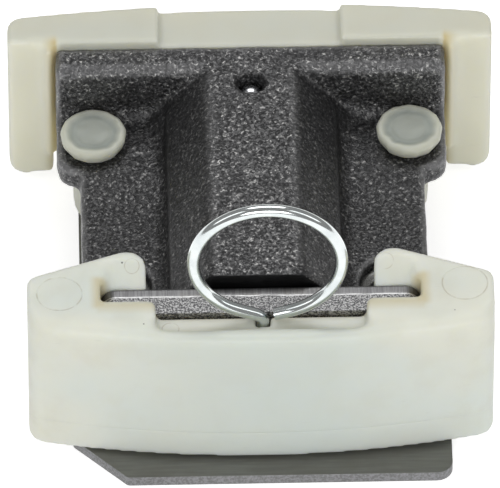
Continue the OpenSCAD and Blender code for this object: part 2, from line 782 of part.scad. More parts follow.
// A ring of points round the wire, at a place given as X and Z and square to a heading in that plane
function wire_ring(place, heading, r) =
    [for (k = [0:wire_sides - 1])
        let (b = 360 * k / wire_sides, out = r * cos(b))
        [place[0] + out * sin(heading), pin_y + r * sin(b), place[1] - out * cos(heading)]];

// Wire pin bent up into a pull ring, with the cut end of the wire beside the bend
module lock_pin() {
    wire_r = wire_d / 2;
    foot = [pin_x, bend_z];
    middle = [ring_x, ring_z];
    down = atan2(foot[1] - middle[1], foot[0] - middle[0]);
    spread = acos(ring_r / ring_stem);
    first = down + spread;
    right = middle + ring_r * [cos(first), sin(first)];
    left = middle + ring_r * [cos(down - spread), sin(down - spread)];
    up_left = unit(left - foot);
    half = acos(up_left * [0, -1]) / 2;
    bend_turn = 180 - 2 * half;
    bend_centre = foot + unit(up_left - [0, 1]) * bend_r / sin(half);
    tip_z = plate_t + moving_gap;
    loop = [for (i = [0:ring_steps])
        let (a = first + (360 - 2 * spread) * i / ring_steps)
        wire_ring(middle + ring_r * [cos(a), sin(a)], a + 90, wire_r)];
    bend = [for (i = [0:arc_steps])
        let (a = bend_turn * (1 - i / arc_steps))
        wire_ring(bend_centre + bend_r * [cos(a), sin(a)], a - 90, wire_r)];
    color([0.78, 0.79, 0.80])
    tube(concat([wire_ring(foot + cut_gap * unit(right - foot), first + 90, wire_r)], loop, bend,
                [wire_ring([pin_x, tip_z + wire_r / 2], -90, wire_r),
                 wire_ring([pin_x, tip_z], -90, wire_r / 2)]));
}

tensioner_body();
back_plate();
back_plate_rivets();
upper_chain_pad();
oil_plug_ball();
check_valve_seat();
check_ball();
check_ball_spring();
check_valve_cage();
plunger_spring();
plunger();
shoe_plate();
lower_chain_shoe();
lock_pin();
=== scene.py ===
import json
import math

import bmesh
import bpy
from mathutils import Matrix, Vector, noise


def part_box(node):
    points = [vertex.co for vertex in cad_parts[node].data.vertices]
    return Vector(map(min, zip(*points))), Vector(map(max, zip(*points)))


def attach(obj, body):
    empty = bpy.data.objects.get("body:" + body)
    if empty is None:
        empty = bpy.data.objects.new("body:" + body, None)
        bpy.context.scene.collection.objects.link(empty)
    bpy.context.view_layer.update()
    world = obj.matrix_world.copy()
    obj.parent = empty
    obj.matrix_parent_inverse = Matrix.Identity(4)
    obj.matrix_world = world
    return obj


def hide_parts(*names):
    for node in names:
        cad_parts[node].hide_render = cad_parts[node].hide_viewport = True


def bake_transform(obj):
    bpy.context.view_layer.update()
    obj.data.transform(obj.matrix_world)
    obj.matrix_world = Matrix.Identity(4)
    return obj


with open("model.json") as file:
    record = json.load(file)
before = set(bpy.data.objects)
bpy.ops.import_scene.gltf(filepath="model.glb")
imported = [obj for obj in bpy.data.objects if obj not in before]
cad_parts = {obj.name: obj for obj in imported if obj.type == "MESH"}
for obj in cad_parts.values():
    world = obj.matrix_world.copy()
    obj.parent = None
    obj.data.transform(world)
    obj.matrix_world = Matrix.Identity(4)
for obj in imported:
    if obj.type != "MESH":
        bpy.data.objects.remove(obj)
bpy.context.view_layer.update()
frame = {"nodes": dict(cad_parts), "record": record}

# Tensioner body: one iron casting with the plunger's boss, the proud rim under the pad and two ears.
# The sand of the mould left it dark and pimpled all over; only the bore, the bolts' spot faces and
# the rear face were cut to bright metal afterwards.
MM = 0.001
skin_step = 0.33 * MM
casting_rounds = 7
swell_size = 3.2 * MM
swell_depth = 0.05 * MM
pimple_size = 1.3 * MM
pimple_depth = 0.085 * MM
grain_size = 0.4 * MM
grain_depth = 0.2 * MM
fine_grain_size = 0.18 * MM
fine_grain_depth = 0.04 * MM
pimple_shift = Vector((7.1, 3.3, 5.7))
edge_stand = 0.012
edge_fade = 0.05
iron_dark = (50, 50, 51)
iron_grey = (114, 114, 115)
# Colour of the painted glints on the tops of the grains.
iron_painted_glint = (214, 213, 211)
cut_iron = (150, 150, 148)


def merged_copy(node_name, name):
    """A new object with a CAD node's mesh, its loose triangles joined and its flat faces whole."""
    mesh = frame["nodes"][node_name].data.copy()
    mesh.name = name
    mesh.materials.clear()
    work = bmesh.new()
    work.from_mesh(mesh)
    bmesh.ops.remove_doubles(work, verts=work.verts, dist=0.001 * MM)
    bmesh.ops.dissolve_limit(work, angle_limit=math.radians(0.4), verts=work.verts, edges=work.edges)
    work.to_mesh(mesh)
    work.free()
    piece = bpy.data.objects.new(name, mesh)
    bpy.context.scene.collection.objects.link(piece)
    return piece


def settle(piece):
    """Makes a piece with modifiers a plain mesh."""
    graph = bpy.context.evaluated_depsgraph_get()
    mesh = bpy.data.meshes.new_from_object(piece.evaluated_get(graph))
    piece.modifiers.clear()
    piece.data = mesh


def even_skin(piece, step, rounds):
    """Covers a piece with small even faces and rounds its edges a little."""
    skin = piece.modifiers.new("Even skin", "REMESH")
    skin.mode = "VOXEL"
    skin.voxel_size = step
    soft = piece.modifiers.new("Rounded edges", "SMOOTH")
    soft.factor = 0.5
    soft.iterations = rounds
    settle(piece)
    piece.data.shade_smooth()


def store(mesh, name, values):
    """Keeps one number per point for a material to read."""
    layer = mesh.attributes.new(name, "FLOAT", "POINT")
    layer.data.foreach_set("value", values)


def srgb(red, green, blue):
    """A colour as it looks on a screen, from 0 to 255, as a socket takes it."""
    shares = [c / 255 for c in (red, green, blue)]
    linear = [c / 12.92 if c < 0.0404 else ((c + 0.055) / 1.055) ** 2.4 for c in shares]
    return (*linear, 1.0)


def clamp(value):
    """Holds a value between 0 and 1."""
    return max(0.0, min(1.0, value))


def node(tree, kind, inputs=None, **settings):
    """Adds a node; an input is a plain value or another node's output."""
    made = tree.nodes.new(kind)
    for key, value in settings.items():
        setattr(made, key, value)
    for key, value in (inputs or {}).items():
        if isinstance(value, bpy.types.NodeSocket):
            tree.links.new(value, made.inputs[key])
        else:
            made.inputs[key].default_value = value
    return made


def start_material(name):
    """A material with an empty tree; returns the material, its tree and its Object coordinates."""
    material = bpy.data.materials.new(name)
    material.use_nodes = True
    tree = material.node_tree
    tree.nodes.clear()
    return material, tree, node(tree, "ShaderNodeTexCoord").outputs["Object"]


def speckle(tree, where, size, detail=2.0, twist=0.0):
    """Noise whose features have a given size."""
    return node(tree, "ShaderNodeTexNoise", {"Vector": where, "Scale": 1 / size, "Detail": detail,
                                             "Roughness": 0.55, "Distortion": twist}).outputs["Fac"]


def stretched(tree, where, stretch):
    """Coordinates drawn out along the axes, for lines and streaks."""
    return node(tree, "ShaderNodeMapping", {"Vector": where, "Scale": stretch}).outputs["Vector"]


def ramp(tree, value, low, high, to_low=0.0, to_high=1.0):
    """A value moved smoothly from one range to another, and held at its ends."""
    return node(tree, "ShaderNodeMapRange", {"Value": value, "From Min": low, "From Max": high,
                                             "To Min": to_low, "To Max": to_high},
                interpolation_type="SMOOTHSTEP").outputs["Result"]


def mixed(tree, share, first, second):
    """One colour turning into another."""
    made = node(tree, "ShaderNodeMix", data_type="RGBA")
    for place, value in ((0, share), (6, first), (7, second)):
        if isinstance(value, bpy.types.NodeSocket):
            tree.links.new(value, made.inputs[place])
        else:
            made.inputs[place].default_value = value
    return made.outputs[2]


def sums(tree, kind, first, second):
    """Two values put together."""
    return node(tree, "ShaderNodeMath", {0: first, 1: second}, operation=kind).outputs[0]


def measure(tree, name):
    """A number kept on the mesh."""
    return node(tree, "ShaderNodeAttribute", attribute_name=name).outputs["Fac"]


def relief(tree, height, depth, under=None):
    """Bumps of a given depth, over other bumps."""
    inputs = {"Height": height, "Distance": depth, "Strength": 1.0}
    if under is not None:
        inputs["Normal"] = under
    return node(tree, "ShaderNodeBump", inputs).outputs["Normal"]


def surface(tree, **sockets):
    """Ends a material in one shader; the words of a socket's name are joined by underscores."""
    named = {key.replace("_", " "): value for key, value in sockets.items()}
    shader = node(tree, "ShaderNodeBsdfPrincipled", named)
    node(tree, "ShaderNodeOutputMaterial", {"Surface": shader.outputs[0]})


def cast_iron():
    """Dark sand-cast skin with grains and painted glints, bright where a cutter ran; painted shade on low
    faces, flanks and the foot, and wear with painted highlight on edges.
    """
    material, tree, where = start_material("sand_cast_iron")
    grain = speckle(tree, where, grain_size, 3.0, 0.6)
    fine = speckle(tree, where, fine_grain_size, 2.0)
    patches = speckle(tree, where, 9 * MM, 2.0)
    cut = measure(tree, "machined")
    edge = measure(tree, "edge")
    drawn = measure(tree, "drawn")
    smooth_shaded_foot = measure(tree, "painted_shade_foot")
    height = node(tree, "ShaderNodeSeparateXYZ", {"Vector": where}).outputs["Z"]
    skin = mixed(tree, ramp(tree, grain, 0.38, 0.62), srgb(*iron_dark), srgb(*iron_grey))
    skin = mixed(tree, ramp(tree, patches, 0.35, 0.75, 0.0, 0.35), skin, srgb(72, 72, 73))
    # Painted glints: the tops of the grains are lightened towards a near-white grey.
    skin = mixed(tree, ramp(tree, grain, 0.58, 0.72, 0.0, 0.9), skin, srgb(*iron_painted_glint))
    # Painted shade: faces lower than 22 mm, in the casting's recesses, are darkened towards (40, 40, 41),
    # most of all below 15 mm.
    skin = mixed(tree, ramp(tree, height, 15 * MM, 22 * MM, 0.42, 0.0), skin, srgb(40, 40, 41))
    # Painted shade: the boss's sloping flanks are darkened towards (52, 52, 53); their grain is also kept
    # lower.
    skin = mixed(tree, sums(tree, "MULTIPLY", drawn, 0.5), skin, srgb(52, 52, 53))
    # Edge wear and painted highlight: proud edges are lightened towards (160, 160, 161).
    skin = mixed(tree, sums(tree, "MULTIPLY", edge, 0.4), skin, srgb(160, 160, 161))
    turned_lines = speckle(tree, stretched(tree, where, (1, 1, 0.04)), 0.12 * MM, 1.0)
    bare = mixed(tree, ramp(tree, turned_lines, 0.35, 0.65), srgb(118, 118, 116), srgb(*cut_iron))
    rough_skin = ramp(tree, fine, 0.3, 0.7, 0.32, 0.48)
    grain_height = sums(tree, "MULTIPLY", grain, ramp(tree, drawn, 0.0, 1.0, 1.0, 0.45))
    bumps = relief(tree, fine, fine_grain_depth, relief(tree, grain_height, grain_depth))
    flat = node(tree, "ShaderNodeNewGeometry").outputs["Normal"]
    even = sums(tree, "MAXIMUM", cut, smooth_shaded_foot)
    normal = node(tree, "ShaderNodeMix", {0: even, 4: bumps, 5: flat}, data_type="VECTOR").outputs[1]
    # Painted shade: the downward faces at the foot, in the narrow gap above the shoe plate, are darkened to
    # (32, 32, 33) and kept smooth.
    tint = mixed(tree, smooth_shaded_foot, mixed(tree, cut, skin, bare), srgb(32, 32, 33))
    roughness = sums(tree, "SUBTRACT", rough_skin, sums(tree, "MULTIPLY", cut, 0.1))
    surface(tree, Base_Color=tint, Metallic=0.75, Roughness=roughness, Normal=normal)
    return material


plunger_lo, plunger_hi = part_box("plunger")
bore_axis = Vector(((plunger_lo.x + plunger_hi.x) / 2, 0, (plunger_lo.z + plunger_hi.z) / 2))
bore_r = (plunger_hi.x - plunger_lo.x) / 2
bore_end = 31 * MM
bolts = next(m for m in frame["record"]["mounts"] if m["name"] == "fixing_bolts")
bolt_x = bolts["dims"]["spacing_x_mm"] / 2 * MM
bolt_y = bolts["pos_m"][1]
bolt_hole_r = bolts["dims"]["hole_r_mm"] * MM
spot_face_r = 4.2 * MM
spot_face_z = 12 * MM
body_lo, body_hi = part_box("tensioner_body")
plug_lo, plug_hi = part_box("oil_plug_ball")
plug_place = (plug_lo + plug_hi) / 2
plug_shelter = 3 * MM
foot_shelter = 1.5 * MM
flank_z = 16 * MM
flank_lean = 0.25
seam = 0.25 * MM


def machined(place, normal):
    """1 where the casting was cut after it was poured, else 0."""
    from_bore = math.hypot(place.x - bore_axis.x, place.z - bore_axis.z)
    in_bore = from_bore < bore_r + seam and place.y < bore_end
    from_bolt = math.hypot(abs(place.x) - bolt_x, place.y - bolt_y)
    on_spot_face = from_bolt < spot_face_r and place.z > spot_face_z and normal.z > 0
    at_rear = place.z < body_lo.z + seam and normal.z < -0.7
    return 1.0 if at_rear or in_bore or on_spot_face or from_bolt < bolt_hole_r + seam else 0.0


def grow_casting_skin(piece):
    """Swells and pimples the casting; marks its cut faces, its edges for wear and painted highlight, its
    smooth flanks and its foot's downward faces for painted shade.
    """
    mesh = piece.data
    places = [v.co.copy() for v in mesh.vertices]
    normals = [v.normal.copy() for v in mesh.vertices]
    around = [Vector() for _ in places]
    degree = [0] * len(places)
    for edge in mesh.edges:
        a, b = edge.vertices
        around[a] += places[b]
        around[b] += places[a]
        degree[a] += 1
        degree[b] += 1
    cut = [machined(place, normal) for place, normal in zip(places, normals)]
    edge_wear_and_highlight = []
    flanks = []
    grown_places = []
    for index, place in enumerate(places):
        normal = normals[index]
        stand = (place - around[index] / degree[index]).dot(normal) / skin_step
        by_plug = math.hypot(place.x - plug_place.x, place.y - plug_place.y) < plug_shelter
        sheltered = by_plug or place.y < foot_shelter or cut[index]
        # Proud edges get wear and painted highlight, except by the plug hole, at the foot and on cut faces.
        edge_wear_and_highlight.append(0.0 if sheltered else clamp((stand - edge_stand) / edge_fade))
        # The boss's sloping flanks are marked; the material keeps their grain lower and darkens them with
        # painted shade.
        on_flank = place.z > flank_z and normal.z > 0.1
        flanks.append(clamp((abs(normal.x) - flank_lean) / flank_lean) if on_flank else 0.0)
        swell = swell_depth * noise.noise(place / swell_size)
        pimple = pimple_depth * noise.noise(place / pimple_size + pimple_shift)
        grown_places.extend(place + normal * (1 - cut[index]) * (swell + pimple))
    mesh.vertices.foreach_set("co", grown_places)
    mesh.update()
    store(mesh, "machined", cut)
    store(mesh, "edge", edge_wear_and_highlight)
    store(mesh, "drawn", flanks)
    # The downward faces at the foot are marked for painted shade.
    store(mesh, "painted_shade_foot", [float(p.y < seam and n.y < -0.6) for p, n in zip(places, normals)])


def finish(piece, material, body, slot, *nodes):
    """Gives a piece its material, hangs it on its body's empty to move with it, and hides the CAD nodes it
    replaces.
    """
    piece.data.materials.clear()
    piece.data.materials.append(material)
    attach(piece, body)
    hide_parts(*nodes)


casting = merged_copy("tensioner_body", "body_casting")
even_skin(casting, skin_step, casting_rounds)
grow_casting_skin(casting)
finish(casting, cast_iron(), "housing", "sand_cast_iron", "tensioner_body")

# Back plate: thin steel sheet stamped to its outline, with one corner cut off at a slant.
# Its faces keep the dull streaks of the rolling mill; the sheared edge is brighter.
sheet_bevel = 0.16 * MM
crisp_angle = math.radians(35)


def soft_edges(piece, width, steps=2):
    """Breaks the sharp edges of a piece with a narrow round bevel."""
    bevel = piece.modifiers.new("Broken edges", "BEVEL")
    bevel.width = width
    bevel.segments = steps
    bevel.limit_method = "ANGLE"
    bevel.angle_limit = crisp_angle
    bevel.use_clamp_overlap = True
    settle(piece)
    piece.data.shade_smooth()
    piece.data.set_sharp_from_angle(angle=crisp_angle)


def rolled_steel():
    """Dull sheet steel with mill streaks along X and a brighter sheared edge."""
    material, tree, where = start_material("stamped_steel")
    streaks = speckle(tree, stretched(tree, where, (0.06, 1, 1)), 0.35 * MM, 3.0)
    overlays = speckle(tree, where, 5 * MM, 3.0)
    pits = speckle(tree, where, 0.3 * MM, 2.0)
    edge = measure(tree, "sheared")
    face = mixed(tree, ramp(tree, streaks, 0.3, 0.7), srgb(114, 115, 110), srgb(124, 125, 120))
    face = mixed(tree, ramp(tree, overlays, 0.4, 0.7, 0.0, 0.4), face, srgb(110, 109, 101))
    torn = mixed(tree, ramp(tree, pits, 0.35, 0.65), srgb(116, 116, 118), srgb(150, 150, 154))
    surface(tree, Base_Color=mixed(tree, edge, face, torn), Metallic=0.6,
            Roughness=ramp(tree, overlays, 0.3, 0.7, 0.44, 0.56),
            Normal=relief(tree, pits, 0.012 * MM, relief(tree, streaks, 0.01 * MM)))
    return material


back_plate = merged_copy("back_plate", "stamped_back_plate")
soft_edges(back_plate, sheet_bevel)
store(back_plate.data, "sheared", [clamp(1 - 1.2 * abs(v.normal.z)) for v in back_plate.data.vertices])
finish(back_plate, rolled_steel(), "housing", "stamped_steel", "back_plate")

# Upper chain pad: nylon moulded in one piece with the two pegs that go through the body's ears.
# The pegs' ends are staked with a hot tool, which leaves a flat dimple in a rolled-over head.
nylon_step = 0.27 * MM
nylon_rounds = 8
pad_white = (214, 213, 196)
pad_cool = (209, 211, 199)
# Colour of the painted light on the end blocks' downward faces.
pad_end_painted_light = (238, 237, 219)
nylon_warm = (206, 190, 140)
# Colour of the painted shade on the peg heads.
nylon_staked = (150, 157, 151)
lip_x = 24.6 * MM
lip_curve = (24.3 * MM, 27.4 * MM)
seat_curve = (37.8 * MM, 40.8 * MM)
curve_fade = 0.6 * MM
lip_rounds = 45
peg_reach = 4.9 * MM
peg_foot = 15.1 * MM
peg_x = 19.8 * MM
peg_y = 30.6 * MM
peg_lift = 0.35 * MM
peg_lumps = 0.10 * MM
peg_lump_size = 1.5 * MM
flat_r = 2.7 * MM
flat_fade = 0.8 * MM
flat_sink = 0.32 * MM
facet = 2 * math.pi / 13
peg_turn = 0.4


def nylon(name, white, cool, grooves=(), overlays=()):
    """Natural nylon: waxy, a little see-through, with flow marks, fine scuffs, grooves, dirt, and the
    painted light and shade that its overlays and marks lay on.
    """
    material, tree, where = start_material(name)
    flow = speckle(tree, stretched(tree, where, (0.5, 1, 0.7)), 11 * MM, 2.0)
    cloud = speckle(tree, where, 4 * MM, 3.0)
    scuff = speckle(tree, stretched(tree, where, (0.15, 1, 1)), 0.5 * MM, 3.0)
    grain = speckle(tree, where, 0.22 * MM, 2.0)
    tint = mixed(tree, ramp(tree, flow, 0.3, 0.7), srgb(*white), srgb(*cool))
    tint = mixed(tree, ramp(tree, cloud, 0.4, 0.75, 0.0, 0.2), tint, srgb(212, 209, 190))
    # Overlays: real dirt, and painted light and shade such as the pad's lit end faces and the shoe's shaded
    # middle.
    for share, colour in overlays:
        tint = mixed(tree, share(tree, where), tint, srgb(*colour))
    # Warm tint: yellow on the pad's lips beside the iron, and painted brownish shade on the shoe beside its
    # steel plate.
    tint = mixed(tree, measure(tree, "warm"), tint, srgb(*nylon_warm))
    # Painted shade: the peg heads, most of all their flat tops, are darkened towards grey-green, as under
    # the rim and over dark iron.
    tint = mixed(tree, measure(tree, "staked"), tint, srgb(*nylon_staked))
    tint = mixed(tree, ramp(tree, scuff, 0.66, 0.8, 0.0, 0.15), tint, srgb(186, 186, 172))
    bumps = relief(tree, grain, 0.006 * MM, relief(tree, cloud, 0.02 * MM))
    for groove in grooves:
        bumps = relief(tree, groove(tree, where), 0.03 * MM, bumps)
    surface(tree, Base_Color=tint, Roughness=ramp(tree, cloud, 0.3, 0.7, 0.40, 0.52), IOR=1.5, Normal=bumps,
            Subsurface_Weight=0.7, Subsurface_Radius=(1.0, 0.95, 0.75), Subsurface_Scale=2.4 * MM)
    return material


def soften(piece, weight, rounds):
    """Rounds part of a piece more than the rest."""
    group = piece.vertex_groups.new(name="soft")
    for vertex in piece.data.vertices:
        group.add([vertex.index], weight(vertex.co), "REPLACE")
    soft = piece.modifiers.new("Soft corners", "SMOOTH")
    soft.factor = 0.5
    soft.iterations = rounds
    soft.vertex_group = "soft"
    settle(piece)
    piece.vertex_groups.clear()


def between(value, low, high, fade):
    """1 inside a range, falling to 0 over a distance outside it."""
    return clamp(1 - max(low - value, value - high) / fade)


def from_peg(place):
    """The way from the nearer peg's axis, as on the right side."""
    return Vector((abs(place.x) - peg_x, place.y - peg_y, 0))


def stake_pegs(mesh):
    """Presses the heads to low uneven discs, undercut at the foot, and marks the heads, most of all their
    flat tops, for painted shade.
    """
    staked = [0.0] * len(mesh.vertices)
    head_top = max(v.co.z for v in mesh.vertices if from_peg(v.co).length < peg_reach)
    for index, vertex in enumerate(mesh.vertices):
        place = vertex.co
        arm = from_peg(place)
        if place.z < peg_foot or arm.length > peg_reach:
            continue
        side = 1 if place.x > 0 else -1
        share = arm.length / peg_reach
        turn = math.atan2(arm.y, arm.x)
        rise = (place.z - peg_foot) / (head_top - peg_foot)
        ragged = noise.noise(Vector((2.3 * math.cos(turn), 2.3 * math.sin(turn), 4.0 * side)))
        on_flat = between(arm.length, 0, flat_r * (1 + 0.08 * ragged), flat_fade)
        bite = (turn + peg_turn) % facet - facet / 2
        facetted = math.cos(facet / 2) / math.cos(bite) - 1
        push = 1 + share ** 2 * (0.03 * ragged + 0.8 * facetted - 0.24 * (1 - rise) + 0.08 * rise)
        lump = peg_lumps * noise.noise(Vector((place.x, place.y, 0)) / peg_lump_size)
        place.z += 0.9 * on_flat * clamp(3 * rise - 2) * (head_top - flat_sink - place.z)
        place.z += rise * (peg_lift + lump)
        place.x += side * arm.x * (push - 1)
        place.y += arm.y * (push - 1)
        staked[index] = rise * (0.34 + 0.58 * on_flat)
    store(mesh, "staked", staked)


def beside_rim(place):
    """1 at the pad's lips, which run into its end blocks in a wide curve, else 0."""
    return between(abs(place.x), *lip_curve, curve_fade) * between(place.y, *seat_curve, curve_fade)


def lip_tint(place):
    """Share of the yellow that the lips take on beside the iron."""
    across = abs(place.x)
    along = between(across, 0, lip_x, 1.6 * MM) ** 1.5 * between(across, lip_x - seam, 30 * MM, seam)
    return 0.9 * along * between(place.y, 0, body_hi.y + seam, 1.2 * MM)


def painted_light_end_faces(tree, where):
    """Share of painted light on the faces of the pad's end blocks that look towards the shoe."""
    return measure(tree, "painted_light_facing")


upper_pad = merged_copy("upper_chain_pad", "upper_pad")
even_skin(upper_pad, nylon_step, nylon_rounds)
soften(upper_pad, beside_rim, lip_rounds)
stake_pegs(upper_pad.data)
store(upper_pad.data, "warm", [lip_tint(v.co) for v in upper_pad.data.vertices])
# Painted light: the end blocks' faces that look down towards the shoe are lightened.
store(upper_pad.data, "painted_light_facing", [
    max(0.0, -v.normal.y) * between(abs(v.co.x), lip_x, 40 * MM, 1 * MM) for v in upper_pad.data.vertices])
pad_nylon = nylon("pad_nylon", pad_white, pad_cool, overlays=[(painted_light_end_faces, pad_end_painted_light)])
finish(upper_pad, pad_nylon, "housing", "pad_nylon", "upper_chain_pad")

# Plug ball: hardened steel ball pressed into the front end of the drilled oil way to close it.
# Ground and polished all round, with faint smears and hairlines.
ball_rings = 48


def steel_ball(node_name, name):
    """A ball with an even skin, in place of a CAD ball."""
    low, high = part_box(node_name)
    work = bmesh.new()
    bmesh.ops.create_uvsphere(work, u_segments=2 * ball_rings, v_segments=ball_rings,
                              radius=(high.x - low.x) / 2)
    bmesh.ops.translate(work, verts=work.verts, vec=(low + high) / 2)
    mesh = bpy.data.meshes.new(name)
    work.to_mesh(mesh)
    work.free()
    mesh.shade_smooth()
    piece = bpy.data.objects.new(name, mesh)
    bpy.context.scene.collection.objects.link(piece)
    return piece


def polished_steel():
    """Ground ball steel with faint smears and hairlines."""
    material, tree, where = start_material("ball_steel")
    smear = speckle(tree, where, 0.9 * MM, 3.0)
    hair = speckle(tree, stretched(tree, where, (1, 0.08, 1)), 0.12 * MM, 2.0)
    tint = mixed(tree, ramp(tree, smear, 0.35, 0.7), srgb(196, 197, 200), srgb(168, 170, 174))
    surface(tree, Base_Color=tint, Metallic=1.0, Roughness=ramp(tree, smear, 0.3, 0.7, 0.10, 0.22),
            Normal=relief(tree, hair, 0.0015 * MM))
    return material


ball_steel = polished_steel()
plug_ball = steel_ball("oil_plug_ball", "plug_ball")
finish(plug_ball, ball_steel, "housing", "ball_steel", "oil_plug_ball")

# Check valve: a turned seat pressed to the end of the bore, a ball on a light spring and a drawn cage.
# It lets oil in behind the plunger and holds it there.
def turned_steel(name, dark, light):
    """Lathe-turned steel with fine rings round the plunger's axis."""
    material, tree, where = start_material(name)
    rings = speckle(tree, stretched(tree, where, (0.05, 1, 0.05)), 0.09 * MM, 2.0)
    stain = speckle(tree, where, 3 * MM, 2.0)
    tint = mixed(tree, ramp(tree, rings, 0.3, 0.7), srgb(*dark), srgb(*light))
    tint = mixed(tree, ramp(tree, stain, 0.45, 0.75, 0.0, 0.3), tint, srgb(118, 114, 106))
    surface(tree, Base_Color=tint, Metallic=1.0, Roughness=ramp(tree, rings, 0.3, 0.7, 0.22, 0.36),
            Normal=relief(tree, rings, 0.006 * MM))
    return material


def turned_piece(node_name, name, material, body, slot):
    """A turned piece: the CAD form with its edges broken."""
    piece = merged_copy(node_name, name)
    soft_edges(piece, 0.08 * MM)
    finish(piece, material, body, slot, node_name)


valve_steel = turned_steel("valve_steel", (146, 146, 148), (178, 178, 182))
turned_piece("check_valve_seat", "valve_seat", valve_steel, "housing", "valve_steel")
turned_piece("check_valve_cage", "valve_cage", valve_steel, "housing", "valve_steel")
check_ball = steel_ball("check_ball", "valve_ball")
finish(check_ball, ball_steel, "housing", "ball_steel", "check_ball")


# Each is a helix with a round section swept along it.
def start_geometry(name, sizes):
    """A Geometry Nodes tree with named inputs; returns it, its input node and the inputs' identifiers."""
    tree = bpy.data.node_groups.new(name, "GeometryNodeTree")
    tree.interface.new_socket("Geometry", in_out="INPUT", socket_type="NodeSocketGeometry")
    tree.interface.new_socket("Geometry", in_out="OUTPUT", socket_type="NodeSocketGeometry")
    keys = {}
    for size, kind in sizes.items():
        socket = tree.interface.new_socket(size, in_out="INPUT", socket_type="NodeSocket" + kind)
        keys[size] = socket.identifier
    return tree, tree.nodes.new("NodeGroupInput"), keys


def end_geometry(tree, geometry, material):
    """Ends a tree in real faces with a material."""
    real = node(tree, "GeometryNodeRealizeInstances", {"Geometry": geometry}).outputs[0]
    smooth = node(tree, "GeometryNodeSetShadeSmooth", {"Geometry": real}).outputs[0]
    dressed = node(tree, "GeometryNodeSetMaterial", {"Geometry": smooth, "Material": material}).outputs[0]
    node(tree, "NodeGroupOutput", {"Geometry": dressed})


def grown(name, data, tree, keys, sizes):
    """An object whose mesh a Geometry Nodes tree makes with the given sizes."""
    piece = bpy.data.objects.new(name, data)
    bpy.context.scene.collection.objects.link(piece)
    maker = piece.modifiers.new(tree.name, "NODES")
    maker.node_group = tree
    for size, value in sizes.items():
        maker[keys[size]] = value
    graph = bpy.context.evaluated_depsgraph_get()
    mesh = bpy.data.meshes.new_from_object(piece.evaluated_get(graph))
    bpy.data.objects.remove(piece)
    made = bpy.data.objects.new(name, mesh)
    bpy.context.scene.collection.objects.link(made)
    return made


def drawn_wire(name, dark, light, gloss):
    """Drawn wire with fine lines and a few dull patches."""
    material, tree, where = start_material(name)
    lines = speckle(tree, where, 0.14 * MM, 3.0)
    patch = speckle(tree, where, 2.2 * MM, 2.0)
    tint = mixed(tree, ramp(tree, patch, 0.35, 0.7), srgb(*light), srgb(*dark))
    surface(tree, Base_Color=tint, Metallic=1.0, Normal=relief(tree, lines, 0.0015 * MM),
            Roughness=ramp(tree, patch, 0.3, 0.7, gloss, gloss + 0.06))
    return material


spring_steel = drawn_wire("spring_steel", (112, 113, 120), (150, 151, 158), 0.24)
coil_tree, coil_in, coil_keys = start_geometry("wound_coil", {
    "Mean radius": "Float", "Wire radius": "Float", "Turns": "Float", "Rise": "Float", "Foot": "Vector",
    "Steps": "Int", "Sides": "Int"})
helix = node(coil_tree, "GeometryNodeCurveSpiral", {
    "Resolution": coil_in.outputs["Steps"], "Rotations": coil_in.outputs["Turns"],
    "Start Radius": coil_in.outputs["Mean radius"], "End Radius": coil_in.outputs["Mean radius"],
    "Height": coil_in.outputs["Rise"]}).outputs[0]
section = node(coil_tree, "GeometryNodeCurvePrimitiveCircle", {
    "Resolution": coil_in.outputs["Sides"], "Radius": coil_in.outputs["Wire radius"]}).outputs[0]
swept = node(coil_tree, "GeometryNodeCurveToMesh", {
    "Curve": helix, "Profile Curve": section, "Fill Caps": True}).outputs[0]
laid = node(coil_tree, "GeometryNodeTransform", {
    "Geometry": swept, "Translation": coil_in.outputs["Foot"],
    "Rotation": (-math.pi / 2, 0, 0)}).outputs[0]
end_geometry(coil_tree, laid, spring_steel)


def wound_spring(node_name, name, wire, turns, steps, sides):
    """A spring that fills the box of a CAD spring."""
    low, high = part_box(node_name)
    return grown(name, bpy.data.meshes.new(name), coil_tree, coil_keys, {
        "Mean radius": (high.x - low.x - wire) / 2, "Wire radius": wire / 2, "Turns": turns,
        "Rise": high.y - low.y - wire, "Steps": steps, "Sides": sides,
        "Foot": Vector(((low.x + high.x) / 2, low.y + wire / 2, (low.z + high.z) / 2))})


ball_spring = wound_spring("check_ball_spring", "valve_spring", 0.35 * MM, 3.0, 36, 10)
finish(ball_spring, spring_steel, "housing", "spring_steel", "check_ball_spring")
main_spring = wound_spring("plunger_spring", "main_spring", 1.2 * MM, 10.0, 40, 16)
main_spring.data.materials.clear()
main_spring.data.materials.append(spring_steel)
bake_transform(main_spring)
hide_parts("plunger_spring")

# Plunger: hollow ground piston that slides in the boss and stands on the shoe's plate.
# Hardened and ground along its whole length, with broken edges.
turned_piece("plunger", "ground_plunger", turned_steel("plunger_steel", (150, 151, 155), (176, 177, 182)),
             "shoe", "plunger_steel")

# Drive rivets: two short pins driven from the rear that hold the back plate on until it is bolted up.
# Their flat heads sit just under the plate's face.
rivet_lo, rivet_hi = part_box("back_plate_rivets")
rivet_head_r = 2.5 * MM
rivet_shank_r = 1.45 * MM
rivet_head_t = 0.7 * MM
rivet_steel = drawn_wire("rivet_steel", (128, 128, 130), (160, 160, 163), 0.3)
rivet_tree, rivet_in, rivet_keys = start_geometry("driven_rivets", {
    "Head radius": "Float", "Shank radius": "Float", "Head height": "Float", "Length": "Float",
    "First": "Vector", "Spacing": "Vector"})
head = node(rivet_tree, "GeometryNodeMeshCylinder", {
    "Vertices": 40, "Radius": rivet_in.outputs["Head radius"],
    "Depth": rivet_in.outputs["Head height"]}).outputs[0]
shank = node(rivet_tree, "GeometryNodeMeshCylinder", {
    "Vertices": 32, "Radius": rivet_in.outputs["Shank radius"],
    "Depth": rivet_in.outputs["Length"]}).outputs[0]
half_head = sums(rivet_tree, "MULTIPLY", rivet_in.outputs["Head height"], 0.5)
